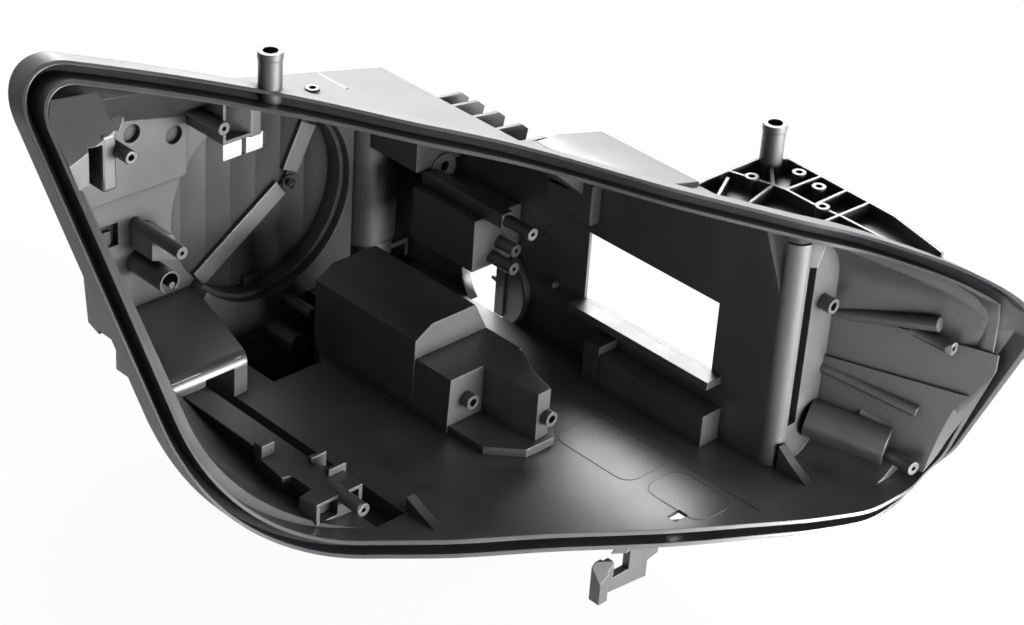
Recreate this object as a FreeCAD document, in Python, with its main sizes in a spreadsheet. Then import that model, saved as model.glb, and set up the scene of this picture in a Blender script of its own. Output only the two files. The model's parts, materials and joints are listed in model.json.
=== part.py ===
import FreeCAD, Part

import os
import re

import Sketcher
from FreeCAD import Placement, Rotation, Vector

# Left-hand lamp housing: an open tray moulded in one piece. While it is built, X runs along the
# lamp towards its inboard end, Y from the open front to the back, which is also the way the
# mould opens, and Z is up. The finished solid is moved to the inboard fixing tower at the end.

# Name, size in mm (or a ratio) and what it is.
SIZES = [
    ("wall", 2.6, "wall of the tray"),
    ("rib", 2.2, "ribs and webs"),
    ("root", 1.0, "how far a rib or boss runs into what carries it"),
    # tray
    ("floor_z", -77.0, "inner face of the floor"),
    ("roof_z", 121.0, "inner face of the roof at x = 0"),
    ("roof_fall", 0.224, "fall of the roof per mm towards the inboard end"),
    ("left_x", -266.7, "outboard wall where y = 0 and z = 0"),
    ("left_draft", 0.39, "outboard wall, change of x per mm of y"),
    ("left_lean", 0.355, "outboard wall, change of x per mm of fall"),
    ("right_x", 133.0, "inboard wall at the step"),
    ("right_flare", 0.39, "inboard wall, change of x per mm of y"),
    ("keel_front_radius", 205.0, "rounded corner of floor and outboard wall, front end"),
    ("keel_back_radius", 40.0, "the same corner, back end"),
    ("tip_radius", 17.0, "rounding of the outboard top corner"),
    ("low_radius", 26.0, "rounding of the inboard bottom corner"),
    ("high_radius", 38.0, "rounding of the inboard top corner"),
    ("front_y", -300.0, "front end of the blank before the rim is trimmed"),
    ("rear_y", 227.0, "inner face of the back wall"),
    ("window_x", 88.0, "inner face of the window wall"),
    ("step_y", -172.0, "front face of the step beside the window wall"),
    ("step_round", 12.0, "rounded corner between window wall and step"),
    ("shoulder_y", 158.0, "start of the rear slope of the roof"),
    ("shoulder_fall", 0.78, "rear slope, fall per mm"),
    ("slope_x", 12.0, "start of the inboard slope of the roof"),
    ("slope_fall", 0.88, "inboard slope, fall per mm"),
    ("slope_y", 16.0, "front end of the inboard slope"),
    # rim
    ("rim_left_x", -258.0, "opening, outboard side"),
    ("rim_right_x", 171.0, "opening, inboard side"),
    ("rim_tip_radius", 22.0, "opening, outboard top corner"),
    ("rim_keel_radius", 74.0, "opening, outboard bottom corner"),
    ("lip", 2.4, "inner lip of the sealing channel"),
    ("channel", 7.0, "width of the sealing channel"),
    ("channel_depth", 18.0, "floor of the channel behind the lip's edge"),
    ("flange", 2.2, "outer flange of the sealing channel"),
    ("flange_set_back", 5.0, "front edge of the flange behind the lip's edge"),
    ("rim_depth", 21.0, "back of the rim behind the lip's edge"),
    ("trim_low_z", -140.0, "level of the lower guide line of the rim"),
    ("trim_high_z", 240.0, "level of the upper guide line of the rim"),
    # window wall
    ("window_front_y", -110.0, "front end of the window"),
    ("window_back_y", 14.0, "back end of the window"),
    ("window_low_z", -28.0, "sill of the window"),
    ("window_high_z", 27.0, "head of the window"),
    ("ledge_depth", 14.0, "ledge under the window"),
    ("ledge_height", 6.0, "height of the ledge's front edge"),
    ("ledge_z", -27.5, "top of the ledge"),
    ("ledge_front_y", -119.0, "front end of the ledge"),
    ("skirt_x", 70.0, "face of the low bar under the ledge"),
    ("skirt_z", -52.0, "top of the low bar"),
    ("skirt_front_y", -122.0, "front end of the low bar"),
    ("skirt_back_y", -22.0, "back end of the low bar"),
    ("ring_y", 103.0, "centre of the round opening, back"),
    ("ring_z", -55.0, "centre of the round opening, up"),
    ("ring_radius", 33.0, "round opening in the window wall"),
    ("ring_collar", 5.0, "collar of the round opening"),
    # back wall and turret
    ("panel_low_z", 47.0, "lower edge of the raised panel on the back wall"),
    ("panel_high_z", 116.0, "upper edge of that panel"),
    ("panel_x", -108.0, "inboard edge of that panel"),
    ("panel_depth", 3.0, "thickness of that panel"),
    ("panel_hole", 7.0, "round recesses of that panel"),
    ("turret_x", -46.5, "centre of the lamp turret, across"),
    ("turret_z", 9.0, "centre of the lamp turret, up"),
    ("turret_radius", 73.5, "membrane that closes the turret"),
    ("turret_flare", 3.5, "growth of the turret's radius towards its front edge"),
    ("turret_front_y", 209.0, "front edge of the turret"),
    ("membrane_y", 229.0, "inner face of the membrane"),
    ("hub_x", -14.0, "gate hub, across"),
    ("hub_z", 10.0, "gate hub, up"),
    ("hub_radius", 6.5, "gate hub"),
    ("hub_length", 5.0, "gate hub's height above the membrane"),
    ("stub_radius", 2.2, "broken stub of the gate"),
    ("runner_width", 8.0, "flow ribs from the gate"),
    ("runner_height", 3.5, "height of the flow ribs"),
    # floor level changes
    ("notch_front_y", 125.0, "front edge of the floor's notch"),
    ("notch_left_x", -108.0, "outboard edge of the notch"),
    ("notch_right_x", -8.0, "inboard edge of the notch"),
    ("plate_y", 208.0, "front face of the plate beside the turret"),
    ("plate_right_x", 34.0, "inboard edge of that plate"),
    ("plate_high_z", 100.0, "upper edge of that plate"),
    ("pit_z", -146.0, "floor below the notch"),
    ("trench_z", -112.0, "floor of the trench along the back wall"),
    ("desk_z", -46.5, "top of the shelf in the outboard corner"),
    ("desk_front_y", 128.0, "front face of the shelf"),
    ("desk_left_x", -260.0, "outboard end of the shelf, inside the wall"),
    ("desk_right_x", -101.0, "inboard side of the shelf at the back wall"),
    ("desk_draft", 0.29, "slant of that side"),
    ("desk_radius", 9.0, "rounded front edge of the shelf"),
    ("slot_left_x", -166.0, "slot beside the bench, outboard side"),
    ("slot_right_x", -141.0, "slot beside the bench, inboard side"),
    ("slot_z", -92.0, "floor of that slot"),
    ("slot_front_y", -52.0, "front end of that slot"),
    ("bench_z", -59.0, "top of the bench beside the slot"),
    # tunnel and lamp carrier on the floor
    ("tunnel_front_y", 36.0, "front end of the tunnel"),
    ("tunnel_back_y", 142.0, "back end of the tunnel"),
    ("tunnel_left_x", -57.0, "outboard side of the tunnel"),
    ("tunnel_right_x", 14.0, "inboard side of the tunnel"),
    ("tunnel_low_z", -20.0, "upper edge of the outboard side"),
    ("tunnel_high_z", -11.0, "ridge of the tunnel"),
    ("carrier_y", 0.0, "front face of the lamp carrier"),
    ("carrier_z", -34.0, "top of the carrier"),
    ("carrier_base_z", -71.0, "top of the carrier's base plate"),
    # fixing towers
    ("tower_x", 165.0, "inboard tower, across"),
    ("tower_y", -78.0, "inboard tower, back"),
    ("tower_z", 128.0, "inboard tower, top"),
    ("tower_radius", 8.2, "towers"),
    ("tower_collar", 8.8, "collar at a tower's top"),
    ("tower_collar_height", 5.0, "height of that collar"),
    ("tower_bore", 5.2, "bore of a tower"),
    ("bore_depth", 40.0, "depth of a tower's bore"),
    ("left_tower_x", -118.0, "outboard tower, across"),
    ("left_tower_y", 121.0, "outboard tower, back"),
    ("left_tower_z", 186.0, "outboard tower, top"),
    # bracket
    ("bracket_z", 99.0, "top of the bracket's ribs"),
    ("bracket_rib_height", 10.0, "height of the bracket's ribs"),
    ("bracket_plate", 2.6, "plate of the bracket"),
    ("pip_radius", 5.0, "small bosses of the bracket"),
    ("pip_hole", 2.4, "holes of those bosses"),
    # bosses
    ("boss_radius", 4.8, "screw bosses"),
    ("boss_hole", 1.7, "pilot holes of the screw bosses"),
    ("big_boss_radius", 5.6, "larger screw bosses"),
    ("big_boss_hole", 3.0, "pilot holes of the larger bosses"),
    ("boss_hole_depth", 14.0, "depth of the pilot holes"),
    ("sleeve_radius", 8.6, "open sleeves"),
    ("sleeve_wall", 1.6, "wall of an open sleeve"),
    ("pin_radius", 2.6, "pin inside a sleeve"),
]

# The styled front edge lies on a surface ruled from front to back. At each station x it passes
# through one y at the lower guide's level and another at the upper guide's.
TRIM = [
    (-290, -95, 259), (-190, -105, 214), (-140, -147, 191), (-93, -177, 156), (-57, -200, 119),
    (-20, -225, 87), (15, -241, 32), (44, -251, -26.5), (64, -259.5, -57.7), (84, -265.3, -90),
    (104, -269, -123.5), (127, -263, -167.5), (150, -245, -257), (168, -229, -332),
    (190, -229, -400),
]

# Screw bosses that point to the open front: name, x, z, y of the tip, y of the foot, and "big"
# for the larger kind.
BOSSES = [
    ("block_boss_low", "61", "-15", "60", "85", ""),
    ("block_boss_high", "68", "-5", "66", "85", ""),
    ("block_boss_top", "57", "24", "40", "151", ""),
    ("step_boss", "119", "47", "step_y - 10", "step_y + root", "big"),
    ("side_boss_high", "156", "36", "-256", "-180", ""),
    ("side_boss_low", "147", "-61", "-254", "-200", ""),
    ("cube_boss", "-152", "22", "172", "rear_y + root", ""),
    ("corner_boss", "-232", "148", "122", "151", ""),
    ("middle_boss", "-111", "103", "178", "rear_y + root", ""),
    ("end_boss", "-174", "-62", "-48", "-20", ""),
    ("carrier_boss_left", "-40", "-54", "-8", "6", "big"),
    ("carrier_boss_right", "-11", "-55", "-56", "-45", "big"),
]

# Ribs of the bracket, seen from above.
BRACKET_EDGE = [("92", "-71"), ("107", "-70"), ("158", "-71"), ("177", "-84"), ("175", "-120"),
                ("171", "-183"), ("157", "-234")]
BRACKET_SPINE = [("130", "-71"), ("139", "-103"), ("141", "-113"), ("140", "-139"),
                 ("142", "-161"), ("141", "-215")]
BRACKET_CROSS = [(("139", "-103"), ("165", "-78")), (("141", "-113"), ("176", "-115")),
                 (("122", "-158"), ("173", "-160")), (("92", "-93"), ("122", "-77")),
                 (("107", "-110"), ("139", "-103")), (("140", "-139"), ("174", "-139"))]
BRACKET_PIPS = [("135", "-87"), ("166", "-103"), ("161", "-125"), ("141", "-145")]
FINS_Y = ["19", "43", "66", "87", "103"]

DOC = FreeCAD.newDocument("Housing")
SHEET = DOC.addObject("Spreadsheet::Sheet", "Sizes")
for row, (alias, number, note) in enumerate(SIZES, 1):
    SHEET.set(f"A{row}", note)
    SHEET.set(f"B{row}", str(number))
    SHEET.setAlias(f"B{row}", alias)
DOC.recompute()

WORD = re.compile(r"[a-z_][a-z_0-9]*")
ALIASES = {alias for alias, number, note in SIZES}
TURNS = {
    "xy": Rotation(),
    "xz": Rotation(Vector(1, 0, 0), 90),
    "yz": Rotation(Vector(1, 1, 1), 120),
}
NORMALS = {"xy": Vector(0, 0, 1), "xz": Vector(0, 1, 0), "yz": Vector(1, 0, 0)}
LEVELS = {"xy": "z", "xz": "y", "yz": "x"}
AXES = {
    "up": Rotation(),
    "front": Rotation(Vector(1, 0, 0), 90),
    "back": Rotation(Vector(1, 0, 0), -90),
    "inboard": Rotation(Vector(0, 1, 0), 90),
    "outboard": Rotation(Vector(0, 1, 0), -90),
}


def formula(text):
    """An expression in which each size name points at the sheet."""
    return WORD.sub(
        lambda m: "Sizes." + m.group(0) if m.group(0) in ALIASES else m.group(0), str(text)
    )


def size(text):
    """The value of an expression in the sizes."""
    return float(SHEET.evalExpression(formula(text)))


def bind(item, **values):
    """Tie properties of an object to expressions; x, y and z stand for its position."""
    for name, text in values.items():
        if name in ("x", "y", "z"):
            name = "Placement.Base." + name
        item.setExpression(name, formula(text))


def box(name, x, y, z):
    """A box between two levels on each axis."""
    item = DOC.addObject("Part::Box", name)
    bind(item, Length=f"({x[1]}) - ({x[0]})", Width=f"({y[1]}) - ({y[0]})")
    bind(item, Height=f"({z[1]}) - ({z[0]})", x=x[0], y=y[0], z=z[0])
    return item


def rod(name, axis, foot, length, radius):
    """A round bar from its foot along an axis."""
    item = DOC.addObject("Part::Cylinder", name)
    item.Placement = Placement(Vector(), AXES[axis])
    bind(item, Radius=radius, Height=length, x=foot[0], y=foot[1], z=foot[2])
    return item


def strut(name, start, end, radius):
    """A round bar between two points."""
    first = Vector(*(size(v) for v in start))
    run = Vector(*(size(v) for v in end)) - first
    item = DOC.addObject("Part::Cylinder", name)
    item.Placement = Placement(first, Rotation(Vector(0, 0, 1), run))
    item.Height = run.Length
    bind(item, Radius=radius)
    return item


def outline(name, plane, level, points, radii=None):
    """A closed sketch through points given as expressions, its corners rounded where asked."""
    sketch = DOC.addObject("Sketcher::SketchObject", name)
    sketch.Placement = Placement(Vector(), TURNS[plane])
    bind(sketch, **{LEVELS[plane]: level})
    spots = [Vector(size(a), size(b), 0) for a, b in points]
    count = len(spots)
    for i in range(count):
        sketch.addGeometry(Part.LineSegment(spots[i], spots[(i + 1) % count]))
    for i in range(count):
        sketch.addConstraint(Sketcher.Constraint("Coincident", i, 2, (i + 1) % count, 1))
    for i, (across, up) in enumerate(points):
        for kind, text, number in (("DistanceX", across, spots[i].x), ("DistanceY", up, spots[i].y)):
            index = sketch.addConstraint(Sketcher.Constraint(kind, -1, 1, i, 1, number))
            sketch.setExpression(f"Constraints[{index}]", formula(text))
    for i, radius in (radii or {}).items():
        sketch.fillet((i - 1) % count, 2, size(radius), 1, True)
        arc = max(g for g in range(sketch.GeometryCount)
                  if isinstance(sketch.Geometry[g], Part.ArcOfCircle))
        index = sketch.addConstraint(Sketcher.Constraint("Radius", arc, size(radius)))
        sketch.setExpression(f"Constraints[{index}]", formula(radius))
    return sketch


def prism(name, plane, near, far, points, radii=None, along=None):
    """An outline drawn out from one level to another, straight or along a slanted direction."""
    item = DOC.addObject("Part::Extrusion", name)
    item.Base = outline(name + "_outline", plane, near, points, radii)
    item.DirMode = "Custom"
    item.Dir = along or NORMALS[plane]
    item.Solid = True
    bind(item, LengthFwd=f"({far}) - ({near})")
    return item


def loft(name, sections):
    """A ruled solid between two outlines."""
    item = DOC.addObject("Part::Loft", name)
    item.Sections = sections
    item.Solid = True
    item.Ruled = True
    return item


def cut(name, base, tool):
    """One object less another."""
    item = DOC.addObject("Part::Cut", name)
    item.Refine = False
    item.Base = base
    item.Tool = tool
    return item


def join(name, items):
    """Objects fused into one."""
    item = DOC.addObject("Part::MultiFuse", name)
    item.Refine = False
    item.Shapes = items
    return item


def common(name, base, tool):
    """What two objects share."""
    item = DOC.addObject("Part::Common", name)
    item.Refine = False
    item.Base = base
    item.Tool = tool
    return item


def made(name, shape):
    """An object whose shape is worked out from the sheet's sizes here."""
    item = DOC.addObject("Part::Feature", name)
    item.Shape = shape
    return item


# The pieces of the housing are collected here, in the order in which they are used.
OUTSIDE = []    # stands on the outside and is trimmed with the rim
INSIDE = []     # stands inside and never reaches past the tray's outer face
RECESSES = []   # large openings and the hollow backs of raised forms
ADDED = []      # stands in a recess, or reaches in front of the rim
HOLES = []      # small holes, bored last


def main_section(name, level, grow, radius):
    """Cross-section of the tray at one y, from the outboard wall to the window wall."""
    wall_x = f"(left_x + left_draft * ({level}) - ({grow}))"
    roof = f"(roof_z + {grow})"
    low = f"(floor_z - {grow})"
    side = f"(window_x + {grow})"
    top_x = f"(({wall_x} - left_lean * {roof}) / (1 - left_lean * roof_fall))"
    return outline(name, "xz", level, [
        (top_x, f"{roof} - roof_fall * {top_x}"),
        (f"{wall_x} - left_lean * {low}", low),
        (side, low),
        (side, f"{roof} - roof_fall * {side}"),
    ], {0: f"tip_radius + {grow}", 1: f"{radius} + {grow}"})


def wing_section(name, level, grow):
    """Cross-section of the part in front of the step, which is wider at its front end."""
    roof = f"(roof_z + {grow})"
    low = f"(floor_z - {grow})"
    start = "(window_x / 2)"
    side = f"(right_x + right_flare * (step_y - ({level})) + {grow})"
    return outline(name, "xz", level, [
        (start, low),
        (side, low),
        (side, f"{roof} - roof_fall * {side}"),
        (start, f"{roof} - roof_fall * {start}"),
    ], {1: f"low_radius + {grow}", 2: f"high_radius + {grow}"})


def tray_blank(name, grow, back):
    """The tray as a solid: drafted body, wing in front of the step, sloped roof."""
    body = loft(name + "_body", [
        main_section(name + "_front", "front_y", grow, "keel_front_radius"),
        main_section(name + "_back", back, grow, "keel_back_radius"),
    ])
    wing = loft(name + "_wing", [
        wing_section(name + "_wing_front", "front_y", grow),
        wing_section(name + "_wing_back", f"step_y + {grow}", grow),
    ])
    roof = f"(roof_z + {grow} + roof_fall * 400)"
    shoulder = prism(name + "_shoulder", "yz", "-400", "400", [
        (f"shoulder_y + {grow}", roof),
        (f"rear_y + 60 + {grow}", f"{roof} - shoulder_fall * (rear_y + 60 - shoulder_y)"),
        ("rear_y + 90", f"{roof} + 60"),
        (f"shoulder_y + {grow}", f"{roof} + 60"),
    ], along=Vector(1, 0, -size("roof_fall")))
    slope = prism(name + "_slope", "xz", f"slope_y + {grow}", "rear_y + 60", [
        (f"slope_x + {grow}", f"roof_z + {grow} - roof_fall * slope_x"),
        (f"window_x + 100 + {grow}",
         f"roof_z + {grow} - roof_fall * slope_x - slope_fall * (window_x + 100 - slope_x)"),
        ("window_x + 100", "roof_z + 120"),
        (f"slope_x + {grow}", "roof_z + 120"),
    ])
    relief = join(name + "_relief", [shoulder, slope])
    return cut(name, join(name + "_whole", [body, wing]), relief)


def guide(points, level):
    """A smooth line through points at one level, evenly paced along x."""
    curve = Part.BSplineCurve()
    curve.interpolate(Points=[Vector(x, y, level) for x, y in points],
                      Parameters=[x for x, y in points])
    return curve.toShape()


def rim_face(shift):
    """The styled surface that trims the rim, moved back by some depth."""
    low = guide([(x, y) for x, y, far in TRIM], size("trim_low_z"))
    high = guide([(x, far) for x, y, far in TRIM], size("trim_high_z"))
    face = Part.makeRuledSurface(low, high)
    face.translate(Vector(0, size(shift), 0))
    return face


def ahead_of_rim(shift):
    """Everything in front of the rim surface."""
    return rim_face(shift).extrude(Vector(0, -700, 0))


def behind_rim(shift):
    """Everything behind the rim surface."""
    return rim_face(shift).extrude(Vector(0, 1100, 0))


def rim_column(grow):
    """The opening, grown outwards, drawn straight from front to back."""
    profile = opening.Shape.makeOffset2D(size(grow)) if size(grow) else opening.Shape
    return Part.Face(Part.Wire(profile.Edges)).extrude(Vector(0, 900, 0))


def rim_band(name, near, far, depth):
    """A ring round the opening between two distances from its edge, in front of some depth."""
    ring = rim_column(far)
    if near:
        ring = ring.cut(rim_column(near))
    return made(name, ring.cut(behind_rim(depth)))


def web(name, start, end, low, high, width):
    """A straight upright web between two points seen from above."""
    first = Vector(size(start[0]), size(start[1]), 0)
    run = Vector(size(end[0]), size(end[1]), 0) - first
    turn = Rotation(Vector(1, 0, 0), run)
    item = DOC.addObject("Part::Box", name)
    item.Length = run.Length
    item.Placement = Placement(first + turn.multVec(Vector(0, -size(width) / 2, 0)), turn)
    bind(item, Width=width, Height=f"({high}) - ({low})", z=low)
    return item


def boss(name, x, z, tip, foot, kind="", where=INSIDE):
    """A screw boss that points to the open front, with its pilot hole."""
    radius = "big_boss_radius" if kind else "boss_radius"
    bore = "big_boss_hole" if kind else "boss_hole"
    where.append(rod(name, "front", (x, foot, z), f"({foot}) - ({tip})", radius))
    HOLES.append(rod(name + "_hole", "back", (x, f"({tip}) - root", z), "boss_hole_depth", bore))


def sleeve(name, x, z, tip, foot, where=INSIDE):
    """An open sleeve that points to the front, slit below, with a pin near its axis."""
    where.append(rod(name, "front", (x, foot, z), f"({foot}) - ({tip})", "sleeve_radius"))
    bore = rod(name + "_bore", "back", (x, f"({tip}) - root", z), f"({foot}) - ({tip}) - root",
               "sleeve_radius - sleeve_wall")
    slit = box(name + "_slit", (f"({x}) - sleeve_radius / 2", f"({x}) + sleeve_radius / 2"),
               (f"({tip}) - root", f"({foot}) - 2 * root"), (f"({z}) - 2 * sleeve_radius", z))
    pin = rod(name + "_pin", "front", (f"({x}) + 2", foot, f"({z}) - 3"), f"({foot}) - ({tip}) + 1",
              "pin_radius")
    HOLES.append(cut(name + "_gap", join(name + "_open", [bore, slit]), pin))


def window_wall():
    """The window with its ledge and bar, the round opening, and the blocks beside them."""
    outside = "window_x + wall + root"
    inner = "window_x + root"
    low = "floor_z - root"
    RECESSES.append(box("window", ("window_x - root", outside), ("window_front_y", "window_back_y"),
                        ("window_low_z", "window_high_z")))
    RECESSES.append(rod("ring_open", "outboard", (outside, "ring_y", "ring_z"),
                        "ring_collar + wall + 3 * root", "ring_radius"))
    RECESSES.append(box("upper_hollow", ("44 + wall", outside), ("150 + wall", "rear_y - wall"),
                        ("31 + wall", "70")))
    RECESSES.append(box("lower_hollow", ("42 + wall", outside), ("84 + wall", "150 - wall"),
                        ("-22 + wall", "20 - wall")))
    RECESSES.append(box("skirt_hollow", ("skirt_x + wall", outside),
                        ("skirt_front_y + wall", "skirt_back_y - wall"),
                        ("floor_z", "skirt_z - wall")))
    INSIDE.extend([
        box("ledge", ("window_x - ledge_depth", inner), ("ledge_front_y", "window_back_y + rib"),
            ("ledge_z - ledge_height", "ledge_z")),
        box("ledge_post", ("skirt_x", inner), ("-21", "-6"), (low, "skirt_z + 3 * rib")),
        box("skirt", ("skirt_x", inner), ("skirt_front_y", "skirt_back_y"), (low, "skirt_z")),
        rod("ring_rim", "outboard", (inner, "ring_y", "ring_z"), "ring_collar + root",
            "ring_radius + wall"),
        rod("window_peg", "outboard", (inner, "43", "-29"), "7", "3.4"),
        prism("roof_clip", "yz", "window_x - 9", inner, [
            ("7", "38"), ("50", "44"), ("50", "56"), ("30", "58"), ("28", "69"), ("7", "69"),
        ]),
        box("upper_block", ("44", inner), ("150", "rear_y + root"), ("31", "95")),
        rod("upper_washer", "front", ("70", "rear_y + root", "27"), "rear_y + 2 - 149", "12"),
        box("lower_block", ("42", inner), ("84", "150"), ("-22", "20")),
    ])
    HOLES.append(rod("upper_hole", "back", ("71", "148", "29"), "12", "4"))


def step_wall():
    """The step beside the window wall: rounded corner, deep slot, roll and rails."""
    corner = ("window_x - root", "window_x + step_round")
    depth = ("step_y - root", "step_y + step_round")
    axis = ("window_x + step_round", "step_y + step_round", "floor_z")
    height = "plate_high_z - 3 - floor_z"
    RECESSES.append(box("corner_relief", corner, depth, ("floor_z", f"floor_z + {height}")))
    OUTSIDE.append(box("corner_floor", corner, depth, ("floor_z - wall", "floor_z")))
    ring = cut("corner_tube", rod("corner_outer", "up", axis, height, "step_round"),
               rod("corner_inner", "up", axis, height, "step_round - wall"))
    ADDED.append(common("corner_post", ring, box("corner_part", corner, depth,
                                                 ("floor_z - root", "plate_high_z"))))
    OUTSIDE.append(box("slot_pocket", ("window_x + 11 - wall", "window_x + 20 + wall"),
                       ("step_y + root", "step_y + 26 + wall"), ("-46 - wall", "76 + wall")))
    RECESSES.append(box("slot_depth", ("window_x + 12", "window_x + 20"),
                        ("step_y - root", "step_y + 26"), ("-46", "76")))
    INSIDE.append(prism("step_foot", "yz", "window_x + 4", "window_x + 11", [
        ("step_y + root", "floor_z - root"), ("step_y + root", "floor_z + 20"),
        ("step_y - 12", "floor_z + 10"), ("step_y - 30", "floor_z - root"),
    ]))
    for level, width in (("36", "2"), ("0", "4")):
        INSIDE.append(prism("side_step_" + width, "xy", "floor_z - root", level, [
            (f"right_x - {width}", "step_y + root"), ("right_x + 30", "step_y + root"),
            ("right_x + 30 + right_flare * 150", "step_y - 150"),
            (f"right_x - {width} + right_flare * 150", "step_y - 150"),
        ]))
    INSIDE.append(strut("side_roll", ("124", "step_y + root", "-48"), ("147", "-223", "-55"), "14"))
    INSIDE.append(strut("side_rail", ("136", "step_y + root", "32"), ("156", "-242", "48"), "5"))
    INSIDE.append(strut("side_bead", ("131", "step_y + root", "-10"), ("153", "-238", "-22"), "4"))
    INSIDE.append(strut("side_pin", ("142", "-200", "-36"), ("165", "-252", "-48"), "3.2"))


def back_wall():
    """The raised panel, the cases in the corners and the column on the back wall."""
    behind = "rear_y + root"
    INSIDE.append(box("panel", ("desk_left_x", "panel_x"), ("rear_y - panel_depth", behind),
                      ("panel_low_z", "panel_high_z")))
    for name, x, z in (("inboard", "-119", "82"), ("outboard", "-155", "94")):
        RECESSES.append(rod(f"panel_recess_{name}", "back", (x, "rear_y - panel_depth - root", z),
                            "panel_depth + wall", "panel_hole"))
    RECESSES.append(box("panel_window", ("-183", "-166"), ("rear_y - root", "rear_y + wall + root"),
                        ("9", "27")))
    INSIDE.append(prism("cube", "xz", "200", behind, [
        ("-157", "5"), ("-137", "-2"), ("-137", "19"), ("-157", "26"),
    ], {2: "3", 3: "3"}))
    sleeve("sleeve_left", "-151", "-9", "188", behind)
    INSIDE.append(prism("corner_case", "xz", "150", behind, [
        ("-290", "113"), ("-222", "113"), ("-222", "200"), ("-290", "200"),
    ], {1: "12"}))
    INSIDE.append(strut("corner_arm", ("-246", "136", "184"), ("-217", "152", "150"), "5"))
    INSIDE.append(rod("corner_peg", "front", ("-229", "152", "152"), "20", "5.6"))
    INSIDE.append(box("middle_case", ("-109", "-76"), ("182", behind), ("88", "150")))
    RECESSES.append(box("middle_pocket", ("-109 + wall", "-76 - wall"),
                        ("182 - root", "rear_y - 2 * wall"), ("88 + wall", "150 - wall")))
    INSIDE.extend([
        rod("column", "up", ("58", "rear_y - 5", "-54"), "150", "25"),
        rod("column_collar", "up", ("58", "212", "-70"), "17", "16"),
        box("column_bracket", ("62", "85"), ("199", "202"), ("-97", "-59")),
    ])
    for i in range(3):
        ADDED.append(rod(f"column_ring_{i}", "up", ("58", "212", f"-74 - {4 * i}"), "2.4", "9"))
    ADDED.append(rod("column_stem", "up", ("58", "212", "-86"), "20", "6"))
    RECESSES.append(rod("column_hollow", "up", ("58", "rear_y - 5", "-50"), "140", "25 - wall"))
    RECESSES.append(box("bracket_gap", ("65", "82"), ("198", "203"), ("-98", "-63")))


def turret():
    """The round lamp turret with its membrane, gate hub and flow ribs."""
    centre = ("turret_x", "membrane_y", "turret_z")
    RECESSES.append(rod("turret_mouth", "front", centre, "membrane_y - turret_front_y + 20",
                        "turret_radius"))
    RECESSES.append(rod("turret_flared", "front", ("turret_x", "turret_front_y + 6", "turret_z"),
                        "26", "turret_radius + turret_flare"))
    OUTSIDE.append(rod("membrane", "back", centre, "wall", "turret_radius + wall"))
    hub = ("hub_x", "membrane_y + root", "hub_z")
    ADDED.append(rod("gate_hub", "front", hub, "hub_length + root", "hub_radius"))
    ADDED.append(rod("gate_stub", "front", hub, "2 * hub_length", "stub_radius"))
    for name, x, z in (("low", "-98", "-44"), ("high", "4", "62")):
        run = Vector(size(x) - size("hub_x"), 0, size(z) - size("hub_z"))
        turn = Rotation(Vector(1, 0, 0), run)
        side = turn.multVec(Vector(0, 0, -size("runner_width") / 2))
        bar = DOC.addObject("Part::Box", f"runner_{name}")
        bar.Placement = Placement(Vector(size("hub_x"), 0, size("hub_z")) + side, turn)
        bar.Length = run.Length
        bind(bar, Width="runner_height + root", Height="runner_width",
             y="membrane_y - runner_height")
        ADDED.append(bar)


def rear_floor():
    """The plate beside the turret and the pockets below the floor at its foot."""
    plate_back = "rear_y + wall"
    left = "notch_left_x - root"
    low = "floor_z - 2 * root"
    INSIDE.append(prism("plate", "xz", "plate_y", "rear_y + root", [
        (left, low), ("plate_right_x", low), ("plate_right_x", "plate_high_z"),
        ("turret_x + 26", "plate_high_z"), ("turret_x", "turret_z"), (left, "turret_z - 60"),
    ]))
    hollow = prism("plate_hollow", "xz", "plate_y + wall", f"{plate_back} + root", [
        ("notch_left_x + wall", "floor_z"), ("plate_right_x - wall", "floor_z"),
        ("plate_right_x - wall", "plate_high_z - 3 * wall"),
        ("turret_x + 26", "plate_high_z - 3 * wall"), ("turret_x", "turret_z"),
        ("notch_left_x + wall", "turret_z - 60 - 3 * wall"),
    ])
    guard = rod("turret_guard", "back", ("turret_x", "plate_y", "turret_z"), "40",
                "turret_radius + turret_flare + wall")
    RECESSES.append(cut("plate_relief", hollow, guard))
    OUTSIDE.append(prism("pit_skin", "xy", "pit_z - wall", "floor_z - root", [
        ("notch_left_x - wall", "notch_front_y - wall"), ("-62", "notch_front_y - wall"),
        ("-48", "147"), ("notch_right_x + wall", "162"), ("notch_right_x + wall", "plate_y + wall"),
        ("notch_left_x - wall", "plate_y + wall"),
    ]))
    RECESSES.append(prism("pit", "xy", "pit_z", "floor_z + wall", [
        ("notch_left_x", "notch_front_y"), ("-64", "notch_front_y"), ("-50", "150"),
        ("notch_right_x", "165"), ("notch_right_x", "plate_y"), ("notch_left_x", "plate_y"),
    ]))
    OUTSIDE.append(box("trench_skin", ("plate_right_x - wall", "window_x + wall"),
                       ("190 - wall", plate_back), ("trench_z - wall", "floor_z - root")))
    RECESSES.append(box("trench", ("plate_right_x", "window_x"), ("190", "rear_y"),
                        ("trench_z", "floor_z + wall")))
    front = "plate_y + root"
    ADDED.append(box("plate_rail", ("-70", "-46"), ("plate_y - 3", front), ("-116", "-96")))
    ADDED.append(box("membrane_tab", ("-55", "-41"), ("membrane_y - 3", "membrane_y + root"),
                     ("-70", "-57")))
    sleeve("sleeve_right", "-42", "-97", "176", front, ADDED)
    boss("plate_boss", "-27", "-77", "179", front, "", ADDED)


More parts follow.
